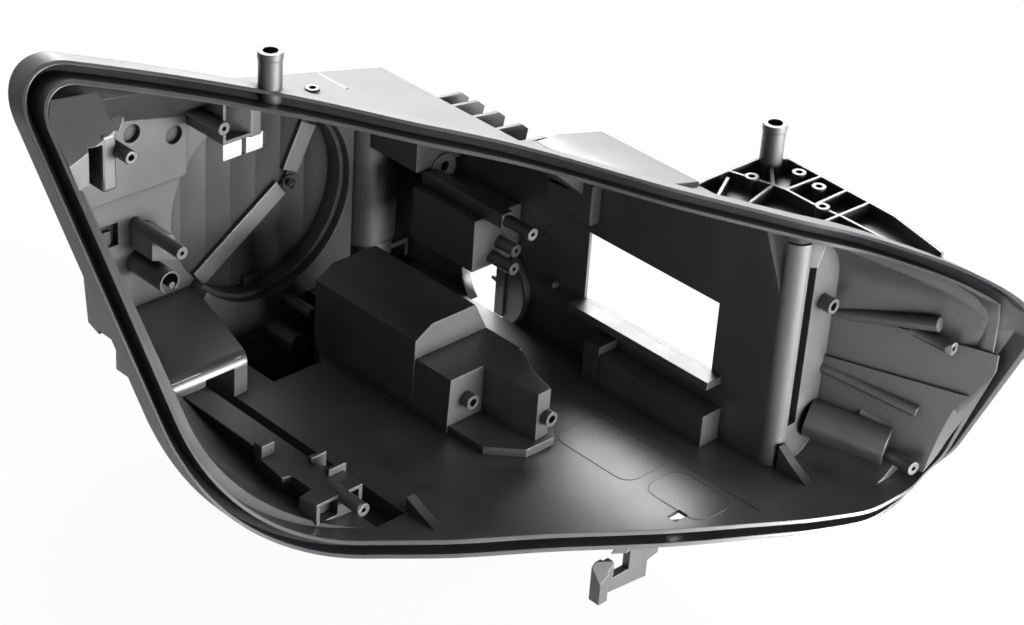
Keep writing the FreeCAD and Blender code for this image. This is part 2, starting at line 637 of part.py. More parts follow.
def desk():
    """The shelf in the outboard rear corner with its open bay, hollow below."""
    inboard = "desk_right_x - desk_draft * (rear_y - desk_front_y)"
    slab = prism("desk_slab", "yz", "desk_left_x", "desk_right_x + root", [
        ("desk_front_y", "floor_z - root"), ("rear_y + root", "floor_z - root"),
        ("rear_y + root", "desk_z"), ("desk_front_y", "desk_z"),
    ], {3: "desk_radius"})
    plan = prism("desk_plan", "xy", "floor_z - 2 * root", "desk_z + root", [
        ("desk_left_x", "desk_front_y - root"), (inboard, "desk_front_y - root"),
        ("desk_right_x", "rear_y + 2 * root"), ("desk_left_x", "rear_y + 2 * root"),
    ])
    INSIDE.append(common("desk", slab, plan))
    RECESSES.append(box("desk_bay", ("slot_left_x", "slot_right_x"),
                        ("desk_front_y - root", "rear_y - 2 * wall"), ("slot_z", "desk_z - 3 * wall")))
    for name, near, far in (("outboard", "-215", "slot_left_x - wall"),
                            ("inboard", "slot_right_x + wall", f"{inboard} - wall")):
        RECESSES.append(box(f"desk_hollow_{name}", (near, far),
                            ("desk_front_y + wall", "rear_y - 3 * wall"),
                            ("floor_z - 2 * wall", "desk_z - wall")))


def keel_corner():
    """The bench between the rounded corner and the slot, with its clips and end block."""
    low = "floor_z - root"
    INSIDE.append(prism("bench", "xy", low, "bench_z", [
        ("-186", "desk_front_y + root"), ("-186", "42"), ("-192", "40"), ("-195", "10"),
        ("-188", "8"), ("-188", "-12"), ("-200", "-14"), ("-197", "-28"), ("-158", "-28"),
        ("-157", "-11"), ("slot_left_x", "8"), ("slot_left_x", "desk_front_y + root"),
    ]))
    RECESSES.append(box("bench_hollow", ("-186 + wall", "slot_left_x - 2 * wall"),
                        ("2", "desk_front_y - wall"), ("floor_z - 2 * wall", "bench_z - wall")))
    RECESSES.append(box("bench_cell_left", ("-194", "-179"), ("-29", "-20"),
                        ("floor_z + wall", "bench_z - wall")))
    RECESSES.append(box("bench_cell_right", ("-168", "-161"), ("-29", "-20"),
                        ("floor_z + wall", "bench_z - wall")))
    INSIDE.append(box("bench_clip", ("-191", "-180"), ("36", "44"), (low, "bench_z + 9")))
    INSIDE.append(box("bench_hook_far", ("-170", "-157"), ("10", "13"), (low, "bench_z + 5")))
    INSIDE.append(box("bench_hook_near", ("-170", "-155"), ("-8", "-5"), (low, "bench_z + 5")))
    OUTSIDE.append(box("slot_skin", ("slot_left_x - wall", "slot_right_x + wall"),
                       ("slot_front_y - wall", "rear_y + wall"), ("slot_z - wall", low)))
    RECESSES.append(box("slot", ("slot_left_x", "slot_right_x"), ("slot_front_y", "desk_front_y"),
                        ("slot_z", "floor_z + wall")))
    INSIDE.append(prism("keel_ramp", "yz", "-139", "-132", [
        ("-50", low), ("-50", "-66"), ("-82", low),
    ]))
    OUTSIDE.append(prism("corner_box", "yz", "-190", "-170", [
        ("236", "20"), ("236", "-15"), ("232", "-48"), ("180", "-64"), ("150", "-64"), ("150", "20"),
    ]))


def tunnel():
    """The hollow ridge over the floor and the lamp carrier at its front end."""
    def ridge(name, near, far, base, shrink):
        return prism(name, "xz", near, far, [
            (f"tunnel_left_x + {shrink}", base), (f"tunnel_right_x - {shrink}", base),
            (f"tunnel_right_x - 2 - {shrink}", f"carrier_z - {shrink} / 2"),
            (f"tunnel_right_x - 14 - {shrink} / 2", f"tunnel_high_z - {shrink}"),
            (f"tunnel_left_x + 16 + {shrink} / 2", f"tunnel_high_z - {shrink}"),
            (f"tunnel_left_x + 1 + {shrink}", f"tunnel_low_z - {shrink} / 2"),
        ])

    def carrier(name, near, far, base, shrink):
        return prism(name, "xz", near, far, [
            (f"tunnel_left_x + {shrink}", base), (f"tunnel_right_x - {shrink}", base),
            (f"tunnel_right_x - 2 - {shrink}", f"carrier_z - {shrink}"),
            (f"tunnel_left_x + 2 + {shrink}", f"carrier_z - {shrink}"),
        ])

    low = "floor_z - root"
    INSIDE.append(ridge("tunnel", "tunnel_front_y", "tunnel_back_y", low, "0"))
    INSIDE.append(carrier("carrier", "carrier_y", "tunnel_front_y + root", low, "0"))
    below = "floor_z - wall - root"
    RECESSES.append(ridge("tunnel_hollow", "tunnel_front_y + wall", "tunnel_back_y - wall", below,
                          "wall"))
    RECESSES.append(carrier("carrier_hollow", "carrier_y + wall", "tunnel_front_y + 2 * wall",
                            below, "wall"))
    INSIDE.append(prism("carrier_base", "xy", low, "carrier_base_z", [
        ("-55", "2"), ("-54", "-34"), ("-33", "-55"), ("-7", "-56"), ("14", "-30"), ("14", "2"),
    ]))
    INSIDE.append(prism("carrier_arm", "xy", "carrier_base_z - root", "carrier_z", [
        ("-24", "1"), ("-24", "-27"), ("-20", "-50"), ("-8", "-50"), ("-2", "-27"), ("10", "-4"),
        ("10", "1"),
    ]))


def towers():
    """The two fixing towers, bored from the top."""
    for name, x, y, z, foot in (("inboard", "tower_x", "tower_y", "tower_z", "bracket_z - 12"),
                                ("outboard", "left_tower_x", "left_tower_y", "left_tower_z", "145")):
        ADDED.append(rod(f"{name}_tower", "up", (x, y, foot), f"{z} - ({foot})", "tower_radius"))
        ADDED.append(rod(f"{name}_collar", "up", (x, y, f"{z} - tower_collar_height"),
                         "tower_collar_height", "tower_collar"))
        HOLES.append(rod(f"{name}_bore", "up", (x, y, f"{z} - bore_depth"), "bore_depth + root",
                         "tower_bore"))


def bracket():
    """The ribbed plate behind the inboard part of the roof that carries the inboard tower."""
    top = "bracket_z"
    low = "bracket_z - bracket_rib_height"
    OUTSIDE.append(prism("bracket_plate_body", "xy", f"{low} - bracket_plate", low, [
        ("80", "-71"), ("107", "-69"), ("158", "-70"), ("178", "-84"), ("176", "-120"),
        ("172", "-183"), ("158", "-236"), ("146", "-240"), ("80", "-110"),
    ]))
    runs = (list(zip(BRACKET_EDGE, BRACKET_EDGE[1:])) + list(zip(BRACKET_SPINE, BRACKET_SPINE[1:]))
            + BRACKET_CROSS)
    for i, (start, end) in enumerate(runs):
        OUTSIDE.append(web(f"bracket_rib_{i}", start, end, low, top, "rib"))
    for i, (x, y) in enumerate(BRACKET_PIPS):
        OUTSIDE.append(rod(f"bracket_pip_{i}", "up", (x, y, f"{low} - root"), f"{top} + 2 - ({low})",
                           "pip_radius"))
        HOLES.append(rod(f"bracket_pip_{i}_hole", "up", (x, y, f"{low} + root"),
                         "bracket_rib_height + 3", "pip_hole"))


def roof_details():
    """Hump, fins, bars and a small boss on the roof."""
    OUTSIDE.append(prism("roof_hump", "xz", "-78", "14", [
        ("22", "roof_z - roof_fall * 22"), ("window_x + wall", "roof_z - roof_fall * window_x"),
        ("window_x + wall", "roof_z + 5 - roof_fall * window_x"), ("48", "roof_z + 7 - roof_fall * 48"),
        ("28", "roof_z + 4 - roof_fall * 28"),
    ]))
    for i, y in enumerate(FINS_Y):
        OUTSIDE.append(prism(f"fin_{i}", "xz", f"{y} - 1.5", f"{y} + 1.5", [
            ("8", "roof_z - 6"),
            ("slope_x + 30", "roof_z - roof_fall * slope_x - slope_fall * 30"),
            ("slope_x + 34", "roof_z - 10"), ("slope_x + 28", "roof_z - 5"), ("8", "roof_z - 0.5"),
        ]))
    for i, (x, y) in enumerate([("-46", "128"), ("-13", "110")]):
        OUTSIDE.append(web(f"roof_bar_{i}", (x, y), (x, "shoulder_y + 2"), "roof_z - 3",
                           f"roof_z + {13 - 8 * i}", "5"))
    ADDED.append(rod("roof_pip", "up", ("-73", "131", "134"), "8", "pip_radius"))
    HOLES.append(rod("roof_pip_hole", "up", ("-73", "131", "139"), "8", "pip_hole"))


def clip():
    """The latch eye under the front of the floor."""
    OUTSIDE.append(box("clip_leg", ("-68", "-60"), ("-164", "-155"), ("-122", "floor_z - root")))
    OUTSIDE.append(prism("clip_frame", "xz", "-163", "-157", [
        ("-62", "floor_z - root"), ("-62", "-116"), ("-22", "-120"), ("-22", "-107"),
        ("-12", "-105"), ("-12", "floor_z - root"),
    ]))
    RECESSES.append(box("clip_eye", ("-55", "-40"), ("-166", "-154"), ("-106", "-91")))


def rim_details():
    """The slot and the shallow tabs on the lip's lower edge."""
    RECESSES.append(box("rim_slot", ("-8", "4"), ("-172", "-164"),
                        ("floor_z - wall - root", "floor_z + root")))


cavity = tray_blank("cavity", "0", "rear_y")
blank = tray_blank("blank", "wall", "rear_y + wall")
opening = outline("opening", "xz", "-420", [
    ("rim_left_x", "roof_z - roof_fall * rim_left_x"),
    ("rim_left_x", "floor_z"),
    ("rim_right_x", "floor_z"),
    ("rim_right_x", "roof_z - roof_fall * rim_right_x"),
], {0: "rim_tip_radius", 1: "rim_keel_radius", 2: "low_radius", 3: "high_radius"})
for build in (window_wall, step_wall, back_wall, turret, rear_floor, desk, keel_corner, tunnel,
              towers, bracket, roof_details, clip, rim_details):
    build()
for values in BOSSES:
    boss(*values)
side = box("outboard_limit", ("-700", "rim_left_x - lip - wall"), ("-700", "700"), ("-300", "300"))
DOC.recompute()
rim = rim_band("rim", "", "lip + channel + flange", "rim_depth")
core = rim_band("core", "", "0", "channel_depth")
groove = rim_band("groove", "lip", "lip + channel", "channel_depth")
set_back = rim_band("set_back", "lip + channel", "lip + channel + 3 * flange", "flange_set_back")
trim = made("trim", ahead_of_rim("0"))
tray = cut("tray", blank, side)
hollow = join("hollow", [cavity, core])
skin = cut("skin", join("skin_solid", [tray, rim] + OUTSIDE), hollow)
fittings = [common(item.Name + "_inside", item, tray) for item in INSIDE]
tools = join("tools", RECESSES + [trim, groove, set_back])
trimmed = cut("trimmed", join("trimmed_solid", [skin] + fittings), tools)
housing = cut("housing", join("housing_solid", [trimmed] + ADDED), join("holes", HOLES))
housing.Label = "housing"
housing.Refine = True
bind(housing, x="0 - tower_x", y="0 - tower_y", z="0 - tower_z")
DOC.recompute()
for item in DOC.Objects:
    if "Invalid" in item.State or "Error" in item.State:
        raise ValueError(f"{item.Label} could not be built")
if housing.Shape.isNull() or not housing.Shape.isValid() or len(housing.Shape.Solids) != 1:
    raise ValueError("the housing is not one sound solid")
os.makedirs("parts", exist_ok=True)
housing.Shape.exportStep("parts/housing.step")
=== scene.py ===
"""Studio scene of a black injection-moulded lamp housing.

The solid's one node is carried over as a merged copy with smooth rounded faces
and three small cuts. Forms and marks that the solid lacks are pieces of their
own, and what moulding leaves on the skin is in the materials.
"""

import json
import logging
import math
from dataclasses import dataclass, field
from enum import Enum

import bmesh
import bpy
import numpy as np
from mathutils import Matrix, Vector

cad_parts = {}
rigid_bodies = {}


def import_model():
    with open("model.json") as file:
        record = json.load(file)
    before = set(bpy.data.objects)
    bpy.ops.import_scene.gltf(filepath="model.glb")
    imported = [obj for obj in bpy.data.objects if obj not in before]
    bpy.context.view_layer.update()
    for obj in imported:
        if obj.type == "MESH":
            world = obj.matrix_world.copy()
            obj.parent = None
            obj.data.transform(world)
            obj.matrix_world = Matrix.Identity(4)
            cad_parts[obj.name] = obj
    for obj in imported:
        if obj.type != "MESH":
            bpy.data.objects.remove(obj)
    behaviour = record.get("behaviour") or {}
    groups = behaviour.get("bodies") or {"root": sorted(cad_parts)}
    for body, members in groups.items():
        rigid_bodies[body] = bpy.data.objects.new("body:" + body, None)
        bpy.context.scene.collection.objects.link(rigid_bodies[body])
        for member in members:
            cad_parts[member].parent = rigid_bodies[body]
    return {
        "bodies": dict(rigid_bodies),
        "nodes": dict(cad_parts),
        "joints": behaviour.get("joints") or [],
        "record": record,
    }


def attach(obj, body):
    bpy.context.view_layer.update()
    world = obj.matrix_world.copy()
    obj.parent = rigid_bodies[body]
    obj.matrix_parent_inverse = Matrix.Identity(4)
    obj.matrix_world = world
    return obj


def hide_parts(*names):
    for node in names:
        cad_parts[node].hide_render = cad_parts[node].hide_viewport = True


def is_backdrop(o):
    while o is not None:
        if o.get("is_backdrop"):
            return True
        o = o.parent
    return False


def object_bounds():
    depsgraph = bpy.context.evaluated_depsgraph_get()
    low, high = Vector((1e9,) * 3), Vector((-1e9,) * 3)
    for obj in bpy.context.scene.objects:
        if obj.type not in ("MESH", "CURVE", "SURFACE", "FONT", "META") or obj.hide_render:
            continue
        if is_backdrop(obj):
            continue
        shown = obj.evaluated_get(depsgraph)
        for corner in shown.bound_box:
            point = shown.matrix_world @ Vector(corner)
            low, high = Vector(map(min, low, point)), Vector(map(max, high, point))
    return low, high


LOG = logging.getLogger("lamp_housing")
MM = 0.001

# The drawing's point, in mm, where the part has its origin.
TOWER_TOP = np.array([165.0, -78.0, 128.0])

# Corners of one piece that lie closer than this, in metres, are one corner.
WELD = 1e-6

# Faces of a grid that meet at a larger angle keep a sharp edge between them.
SHARP_DEGREES = 38.0

# Width of one band of the wave pattern at a scale of 1.
WAVE_BAND = math.pi / 10

# Added to a length, so that a vector of no length can be divided by it.
TINY = 1e-30

Point = tuple[float, float, float]
Outline = tuple[tuple[float, float], ...]


class Ray(Enum):
    """Kinds of ray that may see the white backdrop, by the name of their output."""

    CAMERA = "Is Camera Ray"
    GLOSSY = "Is Glossy Ray"
    TRANSMISSION = "Is Transmission Ray"


class Step(Enum):
    """Arithmetic on the values of a material."""

    SUBTRACT = "SUBTRACT"
    MULTIPLY = "MULTIPLY"
    LARGER = "MAXIMUM"


def row(points: np.ndarray) -> np.ndarray:
    """Points of the drawing, in millimetres, as metres from the tower's top.

    Args:
        points: Array of shape (..., 3) in the drawing's millimetres.

    Returns:
        (points - TOWER_TOP) * MM.
    """
    return (np.asarray(points, dtype=float) - TOWER_TOP) * MM


def linear(hex_colour: str) -> tuple[float, float, float, float]:
    """An sRGB hex colour as linear RGBA.

    Args:
        hex_colour: Colour such as "#1a1b1c".

    Returns:
        Linear red, green, blue, and 1. Each channel c is c / 12.92 up to
        0.04045 and ((c + 0.055) / 1.055) ** 2.4 above it.
    """
    channels = [int(hex_colour[i:i + 2], 16) / 255 for i in (1, 3, 5)]
    red, green, blue = (
        c / 12.92 if c <= 0.04045 else ((c + 0.055) / 1.055) ** 2.4 for c in channels
    )
    return red, green, blue, 1.0


def unit(vectors: np.ndarray) -> np.ndarray:
    """Vectors brought to length 1.

    Args:
        vectors: Array of shape (n, 3).

    Returns:
        The vectors over their lengths. One of no length stays as it is.
    """
    return vectors / (np.linalg.norm(vectors, axis=1, keepdims=True) + TINY)


def read(
    items: bpy.types.bpy_prop_collection, name: str, width: int = 1, kind: type = float,
) -> np.ndarray:
    """One property of all faces, edges or corners of a mesh.

    Args:
        items: The faces, edges or corners.
        name: Name of the property.
        width: How many numbers it has.
        kind: Type of its numbers.

    Returns:
        Array of shape (n,), or of shape (n, width) for a width above 1.
    """
    values = np.empty(len(items) * width, dtype=kind)
    items.foreach_get(name, values)
    return values.reshape(-1, width) if width > 1 else values


def placed(name: str, data: bpy.types.ID) -> bpy.types.Object:
    """A new object, linked to the scene.

    Args:
        name: Name of the object.
        data: Its mesh, light or camera.

    Returns:
        The object.
    """
    thing = bpy.data.objects.new(name, data)
    bpy.context.scene.collection.objects.link(thing)
    return thing


def new_material(name: str) -> bpy.types.Material:
    """An empty node material of that name."""
    material = bpy.data.materials.new(name)
    material.use_nodes = True
    material.node_tree.nodes.clear()
    return material


def add(
    tree: bpy.types.NodeTree,
    kind: str,
    settings: dict[str, object] | None = None,
    values: dict[str | int, object] | None = None,
    links: dict[str | int, bpy.types.NodeSocket] | None = None,
) -> bpy.types.Node:
    """Adds one node to a tree.

    Args:
        tree: Node tree that takes the node.
        kind: Class of the node without its "ShaderNode" prefix.
        settings: Properties of the node.
        values: Defaults of its input sockets, by name or number.
        links: Output sockets that feed its inputs, by name or number.

    Returns:
        The new node.
    """
    node = tree.nodes.new("ShaderNode" + kind)
    for name, value in (settings or {}).items():
        setattr(node, name, value)
    for name, value in (values or {}).items():
        node.inputs[name].default_value = value
    for name, socket in (links or {}).items():
        tree.links.new(socket, node.inputs[name])
    return node


def reckon(
    tree: bpy.types.NodeTree, step: Step,
    first: bpy.types.NodeSocket, second: bpy.types.NodeSocket | float,
) -> bpy.types.NodeSocket:
    """Adds one arithmetic step to a tree.

    Args:
        tree: Node tree that takes the step.
        step: Which step it is.
        first: The value that is changed.
        second: The value or the number that changes it.

    Returns:
        Socket with the result.
    """
    fixed = isinstance(second, float)
    node = add(
        tree, "Math", settings={"operation": step.value},
        values={1: second} if fixed else None,
        links={0: first} if fixed else {0: first, 1: second},
    )
    return node.outputs["Value"]


def rectangle(left: float, right: float, low: float, high: float) -> Outline:
    """Outline of an upright rectangle, round from its lower left corner."""
    return (left, low), (right, low), (right, high), (left, high)


def solid_mesh(name: str, points: np.ndarray, faces: list[list[int]]) -> bpy.types.Object:
    """A mesh object from points of the drawing, with its faces turned outwards.

    Args:
        name: Name of the object and its mesh.
        points: Array of shape (n, 3) in the drawing's millimetres.
        faces: Corner numbers of each face.

    Returns:
        The object, linked to the scene. Doubles are merged before the
        normals are worked out again.
    """
    mesh = bpy.data.meshes.new(name)
    mesh.from_pydata(row(points).tolist(), [], faces)
    shape = bmesh.new()
    shape.from_mesh(mesh)
    bmesh.ops.remove_doubles(shape, verts=shape.verts, dist=WELD)
    bmesh.ops.recalc_face_normals(shape, faces=shape.faces)
    shape.to_mesh(mesh)
    shape.free()
    return placed(name, mesh)


def between(name: str, first: np.ndarray, last: np.ndarray) -> bpy.types.Object:
    """A solid between two outlines that have the same number of corners.

    Args:
        name: Name of the object.
        first: Corners of one end, of shape (n, 3), in the drawing's mm.
        last: Corners of the other end, in the same order.

    Returns:
        The solid: both outlines as its ends, and one wall per side.
    """
    count = len(first)
    corner = np.arange(count)
    after = (corner + 1) % count
    walls = np.column_stack([corner, after, count + after, count + corner]).tolist()
    caps = [corner[::-1].tolist(), (count + corner).tolist()]
    return solid_mesh(name, np.concatenate([first, last]), walls + caps)


def prism(name: str, outline: Outline, along: str, near: float, far: float) -> bpy.types.Object:
    """A straight prism.

    Args:
        name: Name of the object.
        outline: Corners in the plane across its length: (y, z) for a prism
            along x, (x, z) for one along y, (x, y) for one along z.
        along: Axis of its length.
        near: Start along that axis in mm.
        far: End along that axis in mm.

    Returns:
        The prism: the outline at near and at far, with walls between.
    """
    flat = np.asarray(outline, dtype=float)
    axis = "xyz".index(along)
    return between(name, np.insert(flat, axis, near, axis=1), np.insert(flat, axis, far, axis=1))


def closed_grid(name: str, points: np.ndarray) -> bpy.types.Object:
    """A surface that closes on itself both ways.

    Args:
        name: Name of the object.
        points: Array of shape (rows, columns, 3) in the drawing's mm.

    Returns:
        The object. Each face joins a point to its neighbours in the next
        row and column, counted round.
    """
    rows, columns = points.shape[:2]
    number = np.arange(rows * columns).reshape(rows, columns)
    below, beside = np.roll(number, -1, axis=0), np.roll(number, -1, axis=1)
    across = np.roll(below, -1, axis=1)
    faces = np.stack([number, below, across, beside], axis=-1).reshape(-1, 4)
    piece = solid_mesh(name, points.reshape(-1, 3), faces.tolist())
    piece.data.shade_smooth()
    piece.data.set_sharp_from_angle(angle=math.radians(SHARP_DEGREES))
    return piece


def turned(name: str, profile: Outline, centre: Point, steps: int) -> bpy.types.Object:
    """A ring turned about an axis along y.

    Args:
        name: Name of the object.
        profile: Closed loop of (radius, y) in mm.
        centre: Point of the axis; its y is added to the profile's.
        steps: Number of points round.

    Returns:
        The ring: (radius cos a, y, radius sin a) for the angles a.
    """
    radius, depth = np.asarray(profile, dtype=float).T
    angle = np.linspace(0, 2 * math.pi, steps, endpoint=False)[:, None]
    points = np.stack([
        centre[0] + radius * np.cos(angle), centre[1] + depth + 0 * angle,
        centre[2] + radius * np.sin(angle),
    ], axis=-1)
    return closed_grid(name, points)


@dataclass(frozen=True)
class MouldedPolypropylene:
    """Black talc-filled polypropylene, injection moulded against polished steel.

    The steel leaves a satin skin with a fine grain, the melt leaves broad soft
    streaks in its gloss, and rounded edges catch the light as thin lines. In
    narrow grooves and corners an ambient occlusion node turns the gloss and the
    skin down, as painted shade.
    """

    name: str = "moulded_black_polypropylene"
    colour: str = "#1b1c1e"
    streak_colour: str = "#2a2b2e"
    roughness: float = 0.42
    streak_roughness: float = 0.54
    ior: float = 1.85
    gloss: float = 0.5
    skin: float = 0.5
    skin_roughness: float = 0.30
    # Painted shade in grooves and corners: the distance it looks out to, the range of open share
    # it follows, and the share of gloss and skin left where it is deepest.
    shade_reach_mm: float = 11.0
    shade_open_share: tuple[float, float] = (0.40, 0.90)
    shaded_gloss_share: float = 0.12
    grain_mm: float = 1.4
    grain_rise_mm: float = 0.1
    grain_strength: float = 0.10
    grain_detail: float = 3.0
    grain_roughness: float = 0.6
    streak_mm: float = 42.0
    streak_stretch: float = 0.35
    streak_detail: float = 4.0
    streak_waver: float = 0.6
    streak_range: tuple[float, float] = (0.3, 0.7)
    edge_mm: float = 0.9
    samples: int = 4
    tool_mark_mm: float = 0.0
    tool_mark_rise_mm: float = 0.35
    tool_mark_waver: float = 0.3

    def make(self) -> bpy.types.Material:
        """Builds the material.

        Returns:
            A material whose colour and roughness drift with a noise of one
            streak per streak_mm, drawn out upwards, and whose normal adds a
            grain of one bump per grain_mm to edges rounded by edge_mm. Where
            tool_mark_mm is set, upright bands of that width are milled into
            the steel. Its gloss and its thin skin are turned down in grooves and
            corners as painted shade.
        """
        material = new_material(self.name)
        tree = material.node_tree
        place = add(tree, "TexCoord")
        drawn = add(
            tree, "Mapping",
            values={"Scale": (1.0, 1.0, self.streak_stretch)},
            links={"Vector": place.outputs["Object"]},
        )
        streaks = add(
            tree, "TexNoise",
            values={
                "Scale": 1 / (self.streak_mm * MM),
                "Detail": self.streak_detail, "Distortion": self.streak_waver,
            },
            links={"Vector": drawn.outputs["Vector"]},
        )
        grain = add(
            tree, "TexNoise",
            values={
                "Scale": 1 / (self.grain_mm * MM),
                "Detail": self.grain_detail, "Roughness": self.grain_roughness,
            },
            links={"Vector": place.outputs["Object"]},
        )
        colour = add(
            tree, "Mix",
            settings={"data_type": "RGBA"},
            values={"A": linear(self.colour), "B": linear(self.streak_colour)},
            links={"Factor": streaks.outputs["Fac"]},
        )
        least, most = self.streak_range
        dullness = add(
            tree, "MapRange",
            values={
                "From Min": least, "From Max": most,
                "To Min": self.roughness, "To Max": self.streak_roughness,
            },
            links={"Value": streaks.outputs["Fac"]},
        )
        edges = add(
            tree, "Bevel",
            settings={"samples": self.samples}, values={"Radius": self.edge_mm * MM},
        )
        relief = add(
            tree, "Bump",
            values={"Strength": self.grain_strength, "Distance": self.grain_rise_mm * MM},
            links={"Height": grain.outputs["Fac"], "Normal": edges.outputs["Normal"]},
        )
        if self.tool_mark_mm:
            relief = self.tool_marks(tree, place.outputs["Object"], relief.outputs["Normal"])
        # Painted shade: gloss and skin turned down in grooves and corners.
        shaded_shine, skin = self.painted_groove_shade(tree)
        surface = add(
            tree, "BsdfPrincipled",
            values={"IOR": self.ior, "Coat Roughness": self.skin_roughness},
            links={
                "Specular IOR Level": shaded_shine,
                "Coat Weight": skin,
                "Base Color": colour.outputs["Result"],
                "Roughness": dullness.outputs["Result"],
                "Normal": relief.outputs["Normal"],
                "Coat Normal": relief.outputs["Normal"],
            },
        )
        add(tree, "OutputMaterial", links={"Surface": surface.outputs["BSDF"]})
        return material

    def painted_groove_shade(self, tree: bpy.types.NodeTree) -> list[bpy.types.NodeSocket]:
        """Gloss and skin, turned down as painted shade where the surface is shut in.

        Args:
            tree: Node tree that takes the nodes.

        Returns:
            Sockets with the gloss and with the skin, as painted shade. Both are
            full where the share of open directions within the set distance
            meets the upper value of the set range, and fall to the set share
            of that at the lower.
        """
        occlusion_probe = add(
            tree, "AmbientOcclusion",
            settings={"samples": self.samples}, values={"Distance": self.shade_reach_mm * MM},
        )
        lowest, highest = self.shade_open_share
        return [
            add(
                tree, "MapRange",
                values={
                    "From Min": lowest, "From Max": highest,
                    "To Min": full * self.shaded_gloss_share, "To Max": full,
                },
                links={"Value": occlusion_probe.outputs["AO"]},
            ).outputs["Result"]
            for full in (self.gloss, self.skin)
        ]

    def tool_marks(
        self, tree: bpy.types.NodeTree, place: bpy.types.NodeSocket, normal: bpy.types.NodeSocket,
    ) -> bpy.types.Node:
        """Milled bands in the steel, as a bump over the given normal.

        Args:
            tree: Node tree that takes the nodes.
            place: Object coordinates.
            normal: Normal below the bands.

        Returns:
            The bump node. Across each band of tool_mark_mm the height is the
            square of the distance from the band's middle.
        """
        bands = add(
            tree, "TexWave",
            settings={"wave_type": "BANDS", "bands_direction": "X", "wave_profile": "SAW"},
            values={
                "Scale": WAVE_BAND / (self.tool_mark_mm * MM),
                "Distortion": self.tool_mark_waver,
            },
            links={"Vector": place},
        )
        across = reckon(tree, Step.SUBTRACT, bands.outputs["Fac"], 0.5)
        hollow = reckon(tree, Step.MULTIPLY, across, across)
        return add(
            tree, "Bump",
            values={"Strength": 1.0, "Distance": self.tool_mark_rise_mm * MM},
            links={"Height": hollow, "Normal": normal},
        )


@dataclass(frozen=True)
class FloorPaint:
    """Matt white paint that the camera sees nearly as plain white."""

    name: str = "white_painted_floor"
    colour: str = "#f4f4f4"
    roughness: float = 0.9
    white_share: float = 0.93

    def make(self) -> bpy.types.Material:
        """Builds the material.

        Returns:
            Paint for every ray but the camera's, which sees white_share of
            plain white over it.
        """
        material = new_material(self.name)
        tree = material.node_tree
        path = add(tree, "LightPath")
        paint = add(
            tree, "BsdfPrincipled",
            values={"Base Color": linear(self.colour), "Roughness": self.roughness},
        )
        glow = add(tree, "Emission", values={"Color": linear("#ffffff"), "Strength": 1.0})
        seen = reckon(tree, Step.MULTIPLY, path.outputs[Ray.CAMERA.value], self.white_share)
        blend = add(
            tree, "MixShader",
            links={0: seen, 1: paint.outputs["BSDF"], 2: glow.outputs["Emission"]},
        )
        add(tree, "OutputMaterial", links={"Surface": blend.outputs["Shader"]})
        return material


